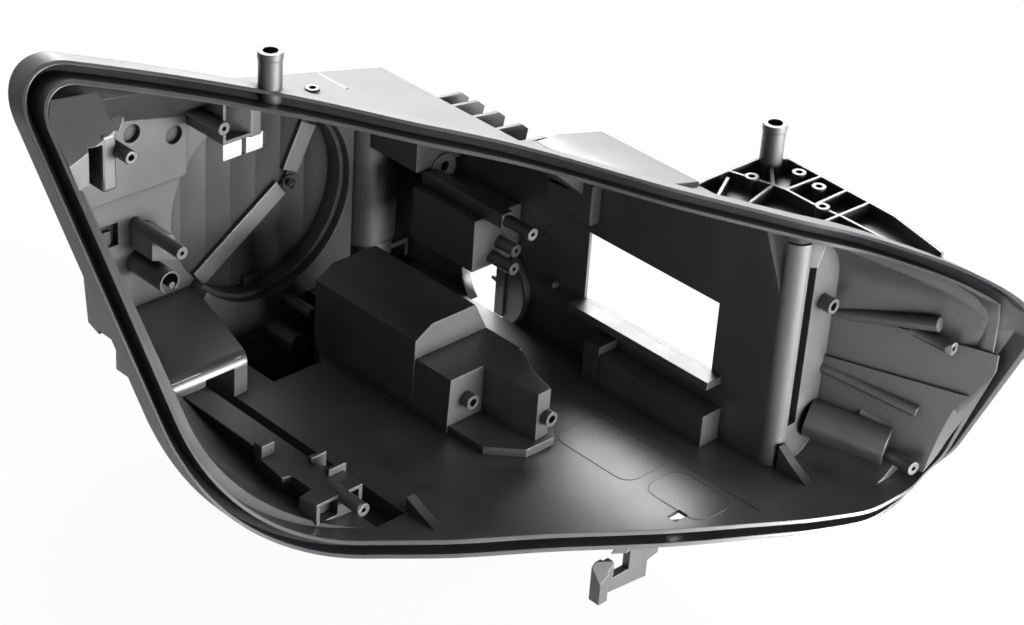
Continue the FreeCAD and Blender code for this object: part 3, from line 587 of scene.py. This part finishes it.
@dataclass
class FaceNormals:
    """Corner normals for a merged triangle mesh of a moulded solid.

    Flat faces keep their own normal up to their border, and the narrow strips
    that stand for a rounding or a barrel flow into each other and into the
    flat faces that they touch.
    """

    same_plane_degrees: float = 0.4
    crease_degrees: float = 33.0
    flat_triangles: int = 3
    flat_mm2: float = 60.0
    soft_share: float = 0.62

    @property
    def crease(self) -> float:
        """Cosine of the largest angle over which two patches flow together."""
        return math.cos(math.radians(self.crease_degrees))

    def neighbours(self, mesh: bpy.types.Mesh) -> tuple[np.ndarray, np.ndarray, np.ndarray]:
        """Pairs of faces that share an edge.

        Args:
            mesh: Mesh of triangles only.

        Returns:
            First faces, second faces and the lengths of their edges. Corners
            are sorted by edge, so two that follow each other on one edge
            belong to the two faces beside it.
        """
        edge = read(mesh.loops, "edge_index", kind=np.int32)
        ends = read(mesh.edges, "vertices", 2, np.int32)
        spans = read(mesh.vertices, "co", 3)[ends]
        length = np.linalg.norm(spans[:, 1] - spans[:, 0], axis=1)
        order = np.argsort(edge, kind="stable")
        paired = np.flatnonzero(edge[order][1:] == edge[order][:-1])
        return order[paired] // 3, order[paired + 1] // 3, length[edge[order[paired]]]

    def patches(
        self, first: np.ndarray, second: np.ndarray, normal: np.ndarray,
    ) -> np.ndarray:
        """Number of the flat patch that each face belongs to.

        Args:
            first: First faces of the pairs.
            second: Second faces of the pairs.
            normal: Unit normals of the faces.

        Returns:
            One label for each face. Faces in one plane that touch take the
            lowest label among them, passed on until nothing changes.
        """
        alike = np.sum(normal[first] * normal[second], axis=1)
        level = alike > math.cos(math.radians(self.same_plane_degrees))
        one, two = first[level], second[level]
        label = np.arange(len(normal))
        while True:
            low = np.minimum(label[one], label[two])
            passed = label.copy()
            np.minimum.at(passed, one, low)
            np.minimum.at(passed, two, low)
            passed = passed[passed]
            if np.array_equal(passed, label):
                return np.unique(label, return_inverse=True)[1]
            label = passed

    def survey(
        self, mesh: bpy.types.Mesh,
    ) -> tuple[np.ndarray, np.ndarray, np.ndarray, np.ndarray]:
        """Sorts the faces into patches and tells flat patches from strips.

        Args:
            mesh: Merged mesh of triangles only.

        Returns:
            The patch of each face, then for each patch its area, its unit
            normal and whether it is flat: it has at least flat_triangles
            faces, more than flat_mm2, and less than soft_share of its border
            lies within crease_degrees of its neighbours.
        """
        normal, area = read(mesh.polygons, "normal", 3), read(mesh.polygons, "area")
        first, second, length = self.neighbours(mesh)
        patch = self.patches(first, second, normal)
        count = int(patch.max()) + 1
        total = np.bincount(patch, area, count)
        lean = unit(np.column_stack([
            np.bincount(patch, area * normal[:, k], count) for k in range(3)
        ]))
        apart = patch[first] != patch[second]
        one, two, span = patch[first[apart]], patch[second[apart]], length[apart]
        soft = np.sum(lean[one] * lean[two], axis=1) > self.crease
        border = np.bincount(one, span, count) + np.bincount(two, span, count)
        gentle = np.bincount(one, span * soft, count) + np.bincount(two, span * soft, count)
        flat = (
            (np.bincount(patch, minlength=count) >= self.flat_triangles)
            & (total > self.flat_mm2 * MM * MM)
            & (gentle < self.soft_share * border)
        )
        return patch, total, lean, flat

    def apply(self, mesh: bpy.types.Mesh) -> None:
        """Gives the mesh its corner normals.

        At a vertex, a flat patch keeps its own normal. A strip takes the mean,
        weighted by area, of the flat patches there within crease_degrees of
        it, or where there is none, of all patches within that angle.

        Args:
            mesh: Merged mesh of triangles only.
        """
        patch, total, lean, flat = self.survey(mesh)
        count = len(total)
        vertex = read(mesh.loops, "vertex_index", kind=np.int64)
        key = vertex * count + np.repeat(patch, 3)
        entries, corner_entry = np.unique(key, return_inverse=True)
        place, owner = entries // count, entries % count
        starts = np.searchsorted(place, place)
        sizes = np.searchsorted(place, place, side="right") - starts
        asks = np.repeat(np.arange(len(entries)), sizes)
        offset = np.arange(len(asks)) - np.repeat(np.cumsum(sizes) - sizes, sizes)
        gives = starts[asks] + offset
        near = np.sum(lean[owner[asks]] * lean[owner[gives]], axis=1) > self.crease
        asks, gives = asks[near], gives[near]
        weight = total[owner[gives]]
        firm = weight * flat[owner[gives]]
        has_firm = np.bincount(asks, firm, len(entries))[asks] > 0
        weight = np.where(has_firm, firm, weight)
        normal = np.column_stack([
            np.bincount(asks, weight * lean[owner[gives], k], len(entries)) for k in range(3)
        ])
        normal = unit(np.where(flat[owner][:, None], lean[owner], normal))
        mesh.shade_smooth()
        mesh.normals_split_custom_set(normal[corner_entry].tolist())


@dataclass
class HousingShell:
    """The moulded shell itself: a merged copy of the solid's node.

    Places and sizes are in the drawing's millimetres. The window openings are
    left, right, low and high, and membrane_facing is how squarely a face has
    to look forward to count as part of the turret's membrane.
    """

    node: str = "housing"
    merge_mm: float = 0.002
    membrane_centre: tuple[float, float] = (-46.5, 9.0)
    membrane_radius: float = 74.0
    membrane_front: float = 222.0
    membrane_facing: float = 0.9
    window_depth: tuple[float, float] = (226.5, 236.0)
    windows: tuple[tuple[float, float, float, float], ...] = (
        (-72.0, -53.0, 44.0, 58.5), (-51.0, -33.5, 44.0, 57.5),
    )
    case_notch: Outline = ((-243.0, 148.5), (-231.6, 148.5), (-231.6, 178.0))
    case_notch_height: tuple[float, float] = (109.0, 140.0)
    normals: FaceNormals = field(default_factory=FaceNormals)
    finish: MouldedPolypropylene = MouldedPolypropylene()
    membrane_finish: MouldedPolypropylene = MouldedPolypropylene(
        name="moulded_polypropylene_on_milled_steel", roughness=0.30, streak_roughness=0.38,
        tool_mark_mm=23.0, tool_mark_rise_mm=2.2,
    )

    def membrane_faces(self, mesh: bpy.types.Mesh) -> np.ndarray:
        """Which faces belong to the turret's membrane.

        Args:
            mesh: The merged mesh.

        Returns:
            One whole number per face: 1 where the face looks forward from
            inside the turret's circle behind membrane_front, else 0.
        """
        centre = read(mesh.polygons, "center", 3) / MM + TOWER_TOP
        forward = -read(mesh.polygons, "normal", 3)[:, 1]
        across, height = (centre[:, [0, 2]] - self.membrane_centre).T
        inside = np.hypot(across, height) < self.membrane_radius
        behind = centre[:, 1] > self.membrane_front
        return (inside & behind & (forward > self.membrane_facing)).astype(np.int32)

    def merge(self, mesh: bpy.types.Mesh, triangulate: bool) -> None:
        """Joins corners that lie within merge_mm of each other.

        Args:
            mesh: Mesh to change.
            triangulate: Whether its faces become triangles as well.
        """
        loose = bmesh.new()
        loose.from_mesh(mesh)
        bmesh.ops.remove_doubles(loose, verts=loose.verts, dist=self.merge_mm * MM)
        if triangulate:
            bmesh.ops.triangulate(loose, faces=loose.faces)
        loose.to_mesh(mesh)
        loose.free()

    def cut_openings(self, piece: bpy.types.Object) -> None:
        """Cuts the two small windows and the notch beside the corner case.

        Args:
            piece: The merged copy of the node.
        """
        cutters = [
            prism(f"window_cutter_{number}", rectangle(*window), "y", *self.window_depth)
            for number, window in enumerate(self.windows)
        ]
        cutters.append(prism("case_cutter", self.case_notch, "z", *self.case_notch_height))
        for cutter in cutters:
            cutting = piece.modifiers.new(cutter.name, "BOOLEAN")
            cutting.operation = "DIFFERENCE"
            cutting.solver = "EXACT"
            cutting.object = cutter
        graph = bpy.context.evaluated_depsgraph_get()
        cut = bpy.data.meshes.new_from_object(piece.evaluated_get(graph))
        piece.modifiers.clear()
        piece.data = cut
        cut.name = piece.name
        for cutter in cutters:
            bpy.data.objects.remove(cutter)

    def build(self, frame: dict) -> bpy.types.Object:
        """Copies the node, cuts its openings and dresses it.


        Returns:
            The piece that stands for the node.
        """
        mesh = frame["nodes"][self.node].data.copy()
        self.merge(mesh, triangulate=False)
        piece = placed(self.node + "_skin", mesh)
        self.cut_openings(piece)
        mesh = piece.data
        self.merge(mesh, triangulate=True)
        self.normals.apply(mesh)
        mesh.materials.clear()
        mesh.materials.append(self.finish.make())
        mesh.materials.append(self.membrane_finish.make())
        mesh.polygons.foreach_set("material_index", self.membrane_faces(mesh))
        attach(piece, "root")
        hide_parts(self.node)
        return piece


@dataclass(frozen=True)
class Rounding:
    """Rounded edges of a moulded form.

    With keeps_flats, its flat faces shade flat right up to the rounding.
    """

    radius_mm: float = 0.35
    segments: int = 2
    keeps_flats: bool = False

    def apply(self, piece: bpy.types.Object) -> None:
        """Rounds the edges of a piece.

        Args:
            piece: The piece with its sharp edges.
        """
        bevel = piece.modifiers.new("rounded_edges", "BEVEL")
        bevel.width = self.radius_mm * MM
        bevel.segments = self.segments
        bevel.limit_method = "ANGLE"
        bevel.harden_normals = self.keeps_flats


@dataclass(frozen=True)
class Bar:
    """A straight moulded form, in the drawing's millimetres.

    Its outline lies across its length, as prism() takes it, and its span says
    where it starts and ends along that axis.
    """

    name: str
    outline: Outline
    along: str
    span: tuple[float, float]
    rounding: Rounding = Rounding()


# The narrow front of the case in the outboard top corner.
CORNER_CASE = Bar(
    "corner_case", rectangle(-232.0, -220.5, 104.5, 146.0), "y", (149.6, 176.0),
    Rounding(2.5, 4, True),
)

# The case beside the turret, with one slanting side.
ROOF_CASE = Bar(
    "roof_case", ((-98.0, 196.0), (-84.5, 181.5), (-75.0, 181.5), (-75.0, 196.0)),
    "z", (86.5, 116.5), Rounding(1.6, 4, True),
)

# The hood over the long boss on the lamp carrier.
CARRIER_HOOD = Bar(
    "carrier_hood", rectangle(51.5, 63.0, 18.0, 30.0), "y", (66.0, 152.0),
    Rounding(1.6, 4, True),
)

# The stretch of roof that falls back above the roof case.
ROOF_PANEL = Bar(
    "roof_panel", (
        (182.2, 120.6), (191.0, 120.6), (205.0, 110.0), (226.5, 93.2), (226.5, 96.0),
        (205.0, 112.8), (191.5, 123.4), (182.2, 123.4),
    ), "x", (-106.6, -78.4),
)

# The wall of the duct behind the round opening.
DUCT_WALL = Bar("duct_wall", rectangle(78.0, 106.0, -98.0, -20.0), "x", (99.0, 101.5))

# The clip strip behind the round opening, with a small hook half-way up.
DUCT_STRIP = Bar(
    "duct_strip", (
        (104.5, -90.0), (113.0, -90.0), (113.0, -63.0), (118.0, -62.0), (118.0, -60.0),
        (113.0, -59.0), (113.0, -30.0), (104.5, -30.0),
    ), "x", (96.5, 99.0),
)


@dataclass
class MouldedDetails:
    """Small moulded forms and marks that stand on or beside the shell.

    Places and sizes are in the drawing's millimetres. The pocket is given as
    left, right, low and high, a pad as left, right, front and back, a spoke by
    its ends at the hub and at the ring as (x, z), and a floor line by its x and
    its two ends along y. The torn stub has its profile as (share of radius,
    share of length) and its waves as (height, number round, phase).
    """

    finish: bpy.types.Material
    boss_place: tuple[float, float] = (-218.6, 131.9)
    boss_tip: float = 136.9
    boss_foot: float = 176.0
    boss_radius: float = 4.8
    boss_flare: float = 0.5
    boss_chamfer: float = 0.6
    boss_bore: float = 2.1
    bore_chamfer: float = 0.5
    boss_steps: int = 40
    pocket: tuple[float, float, float, float] = (-186.0, -163.0, 6.0, 30.0)
    pocket_front: float = 228.5
    pocket_back: float = 235.6
    pocket_wall: float = 2.0
    strip: Bar = DUCT_STRIP
    bars: tuple[Bar, ...] = (CORNER_CASE, ROOF_CASE, CARRIER_HOOD, ROOF_PANEL, DUCT_WALL)
    floor_level: float = -77.0
    line_width: float = 1.0
    line_height: float = 0.35
    floor_lines: tuple[tuple[float, float, float], ...] = (
        (45.5, -200.0, -18.0), (-58.0, -16.0, 96.0),
    )
    pads: tuple[tuple[float, float, float, float], ...] = (
        (-2.0, 44.0, -122.0, -48.0), (2.0, 40.0, -184.0, -130.0),
    )
    pad_radius: float = 12.0
    pad_steps: int = 9
    spokes: tuple[tuple[tuple[float, float], tuple[float, float]], ...] = (
        ((-21.3, 8.2), (-97.8, -43.3)), ((-13.0, 19.0), (4.0, 53.5)),
    )
    spoke_width: float = 14.0
    spoke_rise: float = 4.2
    spoke_low_rise: float = 5.8
    spoke_level: float = 229.3
    spoke_rounding: Rounding = Rounding()
    stub_place: Point = (-15.5, 220.6, 12.0)
    stub_radius: float = 3.0
    stub_length: float = 3.2
    stub_root: float = 0.5
    stub_steps: int = 36
    stub_profile: Outline = (
        (1.0, 0.0), (1.0, 0.45), (0.86, 0.85), (0.55, 1.0), (0.22, 0.7), (0.02, 0.8),
    )
    stub_waves: tuple[tuple[float, int, float], ...] = (
        (0.14, 3, 0.7), (0.09, 7, 2.1), (0.06, 11, 4.4),
    )
    stub_tear: float = 2.2
    stub_barrel: float = 0.95

    def dress(
        self, piece: bpy.types.Object, rounding: Rounding | None = None,
    ) -> bpy.types.Object:
        """Gives a piece its finish, its body and, where wanted, soft edges.

        Args:
            piece: The new piece.
            rounding: How its edges are rounded, if they are.

        Returns:
            The same piece.
        """
        if rounding:
            rounding.apply(piece)
        piece.data.materials.append(self.finish)
        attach(piece, "root")
        return piece

    def bar(self, form: Bar) -> bpy.types.Object:
        """One straight form.

        Args:
            form: Its outline, its span and how its edges are rounded.

        Returns:
            The form.
        """
        piece = prism(form.name, form.outline, form.along, *form.span)
        return self.dress(piece, form.rounding)

    def corner_boss(self) -> bpy.types.Object:
        """The screw boss in the outboard top corner: a tube with a worn-in lead."""
        outer, bore, tip = self.boss_radius, self.boss_bore, self.boss_tip
        profile = (
            (outer + self.boss_flare, self.boss_foot), (outer, tip + self.boss_chamfer),
            (outer - self.boss_chamfer, tip), (bore + self.bore_chamfer, tip),
            (bore, tip + self.bore_chamfer), (bore, self.boss_foot),
        )
        across, height = self.boss_place
        return self.dress(turned("corner_boss", profile, (across, 0.0, height), self.boss_steps))

    def spoke(
        self, name: str, start: tuple[float, float], end: tuple[float, float],
    ) -> bpy.types.Object:
        """One flat flow rib that leads away from the gate.

        Args:
            name: Name of the piece.
            start: Its end at the hub, (x, z) in mm.
            end: Its end at the turret's ring.

        Returns:
            A low bar of spoke_width whose front leans: it stands out by
            spoke_low_rise along its lower edge and by spoke_rise along its
            upper one.
        """
        first, last = np.asarray(start), np.asarray(end)
        run = (last - first) / np.linalg.norm(last - first)
        side = np.array([-run[1], run[0]]) * self.spoke_width / 2
        side *= np.sign(side[1])
        flat = np.array([first - side, last - side, last + side, first + side])
        rise = np.repeat([self.spoke_low_rise, self.spoke_rise], 2)
        front = np.insert(flat, 1, self.spoke_level - rise, axis=1)
        back = np.insert(flat, 1, self.spoke_level, axis=1)
        return self.dress(between(name, front, back), self.spoke_rounding)

    def wall_pocket(self) -> bpy.types.Object:
        """The closed pocket behind the small opening in the back wall.

        Returns:
            A cup with four walls and a bottom, open to the front: its outline
            is carried back, then in by the wall, then forward again.
        """
        outer = np.array(rectangle(*self.pocket))
        inner = outer + np.sign(outer.mean(axis=0) - outer) * self.pocket_wall
        rings = [
            (outer, self.pocket_front), (outer, self.pocket_back),
            (inner, self.pocket_back - self.pocket_wall), (inner, self.pocket_front),
        ]
        points = np.concatenate([np.insert(ring, 1, depth, axis=1) for ring, depth in rings])
        corner = np.arange(4)
        after = (corner + 1) % 4
        walls = [
            np.column_stack([4 * k + corner, 4 * k + after, 4 * k + 4 + after, 4 * k + 4 + corner])
            for k in (0, 2)
        ]
        mouth = np.column_stack([12 + corner, 12 + after, after, corner])
        faces = np.concatenate(walls + [mouth]).tolist() + [[4, 5, 6, 7], [11, 10, 9, 8]]
        return self.dress(solid_mesh("wall_pocket", points, faces))

    def floor_line(self, number: int, place: float, start: float, end: float) -> bpy.types.Object:
        """A witness line that two blocks of the mould leave on the floor.

        Args:
            number: Its number, for its name.
            place: Where it lies across, in mm.
            start: Its front end.
            end: Its back end.

        Returns:
            A bead of triangular section.
        """
        half = self.line_width / 2
        base, top = self.floor_level - self.line_height, self.floor_level + self.line_height
        outline = ((place - half, base), (place + half, base), (place, top))
        return self.dress(prism(f"floor_line_{number}", outline, "y", start, end))

    def floor_pad(self, number: int, pad: tuple[float, float, float, float]) -> bpy.types.Object:
        """The rim of a shallow rounded pad on the floor.

        Args:
            number: Its number, for its name.
            pad: Left, right, front and back of the pad in mm.

        Returns:
            A bead of triangular section along a rectangle with corners of
            pad_radius: at each of four corners the angle runs a quarter turn.
        """
        left, right, front, back = pad
        radius, steps = self.pad_radius, self.pad_steps
        starts = np.arange(4) * math.pi / 2
        angle = (starts[:, None] + np.linspace(0, math.pi / 2, steps)).ravel()[:, None]
        left, right, front, back = left + radius, right - radius, front + radius, back - radius
        centre_x = np.repeat([right, left, left, right], steps)[:, None]
        centre_y = np.repeat([back, back, front, front], steps)[:, None]
        away = np.array([radius, radius - self.line_width / 2, radius - self.line_width])
        level = self.floor_level + np.array([-1, 1, -1]) * self.line_height
        points = np.stack([
            centre_x + np.cos(angle) * away,
            centre_y + np.sin(angle) * away,
            np.broadcast_to(level, (len(angle), 3)),
        ], axis=-1)
        return self.dress(closed_grid(f"floor_pad_{number}", points))

    def gate_break(self) -> bpy.types.Object:
        """The ragged face where the gate was broken off.

        Returns:
            A short turned knob. Its radius changes with the angle as a sum of
            waves, and beyond its barrel its length does too, stub_tear times
            as much, so that its end looks torn.
        """
        angle = np.linspace(0, 2 * math.pi, self.stub_steps, endpoint=False)[:, None]
        share, height = np.array(self.stub_profile).T
        ragged = sum(
            size * np.sin(count * angle + phase) for size, count, phase in self.stub_waves
        )
        across = self.stub_radius * share * (1 + ragged)
        torn = 1 + self.stub_tear * ragged * (share < self.stub_barrel)
        x, y, z = self.stub_place
        points = np.stack([
            x + across * np.cos(angle), y - height * self.stub_length * torn,
            z + across * np.sin(angle),
        ], axis=-1)
        root = np.broadcast_to([x, y + self.stub_root, z], (self.stub_steps, 1, 3))
        return self.dress(closed_grid("gate_break", np.concatenate([points, root], axis=1)))

    def build(self) -> list[bpy.types.Object]:
        """Builds all the small forms.

        Returns:
            The pieces.
        """
        pieces = [self.corner_boss(), self.wall_pocket(), self.bar(self.strip), self.gate_break()]
        pieces += [self.bar(form) for form in self.bars]
        pieces += [self.spoke(f"spoke_{k}", *ends) for k, ends in enumerate(self.spokes)]
        pieces += [self.floor_line(number, *line) for number, line in enumerate(self.floor_lines)]
        pieces += [self.floor_pad(number, pad) for number, pad in enumerate(self.pads)]
        return pieces


@dataclass(frozen=True)
class Lamp:
    """One soft rectangular lamp: place and size in metres."""

    name: str
    place: Point
    size: tuple[float, float]
    watts: float

    def build(self, target: Point) -> bpy.types.Object:
        """Puts the lamp in its place.

        Args:
            target: Point that it faces.

        Returns:
            The lamp.
        """
        data = bpy.data.lights.new(self.name, "AREA")
        data.shape = "RECTANGLE"
        data.size, data.size_y = self.size
        data.energy = self.watts
        lamp = placed(self.name, data)
        lamp.location = self.place
        facing = Vector(target) - Vector(self.place)
        lamp.rotation_euler = facing.to_track_quat("-Z", "Y").to_euler()
        return lamp


@dataclass
class Studio:
    """White floor, white backdrop, dim surround and soft lamps."""

    floor_gap_mm: float = 0.5
    floor_span: float = 12.0
    floor_paint: FloorPaint = FloorPaint()
    surround: float = 0.16
    backdrop: Point = (0.6, 0.8, 0.0)
    backdrop_share: tuple[float, float] = (0.1, 0.6)
    lamps: tuple[Lamp, ...] = (
        Lamp("front_low_softbox", (0.25, -1.35, -0.06), (1.5, 0.40), 95.0),
        Lamp("rear_top_softbox", (1.0, 1.1, 0.95), (1.6, 0.9), 45.0),
        Lamp("camera_softbox", (-1.3, -1.5, 1.0), (0.9, 0.6), 3.0),
    )

    def floor(self, level: float) -> bpy.types.Object:
        """A plain pale floor just under the object.

        Args:
            level: Height of the object's lowest point, in metres.

        Returns:
            The floor, declared as stage.
        """
        half = self.floor_span / 2
        height = level - self.floor_gap_mm * MM
        points = np.insert(rectangle(-half, half, -half, half), 2, height, axis=1)
        mesh = bpy.data.meshes.new("studio_floor")
        mesh.from_pydata(points.tolist(), [], [(0, 1, 2, 3)])
        floor = placed("studio_floor", mesh)
        mesh.materials.append(self.floor_paint.make())
        floor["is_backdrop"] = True
        return floor

    def world(self) -> None:
        """A white backdrop behind the object and a dim room in front of it.

        The camera sees white everywhere. Mirrored and refracted rays see the
        white backdrop where they leave towards it, and elsewhere the dim room,
        which is also all that the surround adds to the light on the object.
        The share of white is the direction's part along backdrop, taken over
        backdrop_share.
        """
        world = bpy.data.worlds.new("studio_surround")
        bpy.context.scene.world = world
        world.use_nodes = True
        tree = world.node_tree
        tree.nodes.clear()
        path = add(tree, "LightPath")
        facing = add(tree, "TexCoord")
        towards = add(
            tree, "VectorMath", settings={"operation": "DOT_PRODUCT"},
            values={1: self.backdrop}, links={0: facing.outputs["Generated"]},
        )
        least, most = self.backdrop_share
        share = add(
            tree, "MapRange", values={"From Min": least, "From Max": most},
            links={"Value": towards.outputs["Value"]},
        )
        camera, glossy, transmitted = (
            path.outputs[ray.value] for ray in (Ray.CAMERA, Ray.GLOSSY, Ray.TRANSMISSION)
        )
        bent = reckon(tree, Step.LARGER, glossy, transmitted)
        mirrored = reckon(tree, Step.MULTIPLY, bent, share.outputs["Result"])
        white = add(
            tree, "MapRange",
            values={"To Min": self.surround, "To Max": 1.0},
            links={"Value": reckon(tree, Step.LARGER, camera, mirrored)},
        )
        sky = add(
            tree, "Background",
            values={"Color": linear("#ffffff")}, links={"Strength": white.outputs["Result"]},
        )
        add(tree, "OutputWorld", links={"Surface": sky.outputs["Background"]})

    def build(self, low: np.ndarray, high: np.ndarray) -> None:
        """Sets up floor, world and lamps round the object.

        Args:
            low: Lowest corner of the object's box.
            high: Highest corner of the object's box.
        """
        self.floor(float(low[2]))
        self.world()
        middle = tuple((low + high) / 2)
        for lamp in self.lamps:
            lamp.build(middle)


@dataclass
class Camera:
    """The photograph's view, as fitted to the housing's own straight edges."""

    azimuth: float = -45.9
    elevation: float = 31.0
    roll: float = 4.1
    focal_px: float = 2500.0
    distance_mm: float = 1724.0
    width_px: int = 1024
    sensor_mm: float = 36.0
    nearest_m: float = 0.05
    farthest_m: float = 50.0

    def build(self) -> bpy.types.Object:
        """Makes the camera and sets it as the scene's.

        Returns:
            The camera. Its right, up and back axes are those of azimuth and
            elevation turned by roll, and it looks at the drawing's origin.
        """
        a, e, t = (math.radians(v) for v in (self.azimuth, self.elevation, self.roll))
        right = np.array([math.cos(a), math.sin(a), 0.0])
        up = np.array([-math.sin(a) * math.sin(e), math.cos(a) * math.sin(e), math.cos(e)])
        back = np.cross(right, up)
        right, up = (
            math.cos(t) * right + math.sin(t) * up,
            math.cos(t) * up - math.sin(t) * right,
        )
        data = bpy.data.cameras.new("photo_camera")
        data.sensor_width = self.sensor_mm
        data.lens = self.focal_px * self.sensor_mm / self.width_px
        data.clip_start, data.clip_end = self.nearest_m, self.farthest_m
        camera = placed("photo_camera", data)
        axes = Matrix(np.column_stack([right, up, back]).tolist()).to_4x4()
        camera.matrix_world = Matrix.Translation(row(self.distance_mm * back)) @ axes
        bpy.context.scene.camera = camera
        return camera


def main() -> None:
    """Builds the camera, the housing and the studio, and reports each piece."""
    logging.basicConfig(level=logging.INFO, format="%(message)s")
    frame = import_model()
    solid_low, solid_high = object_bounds()
    bpy.context.scene.view_settings.view_transform = "Standard"
    Camera().build()
    LOG.info("camera set")
    shell = HousingShell().build(frame)
    LOG.info("%s: %d faces", shell.name, len(shell.data.polygons))
    for piece in MouldedDetails(shell.data.materials[0]).build():
        LOG.info("%s: %d faces", piece.name, len(piece.data.polygons))
    Studio().build(np.array(solid_low), np.array(solid_high))
    LOG.info("studio set")


if __name__ == "__main__":
    main()
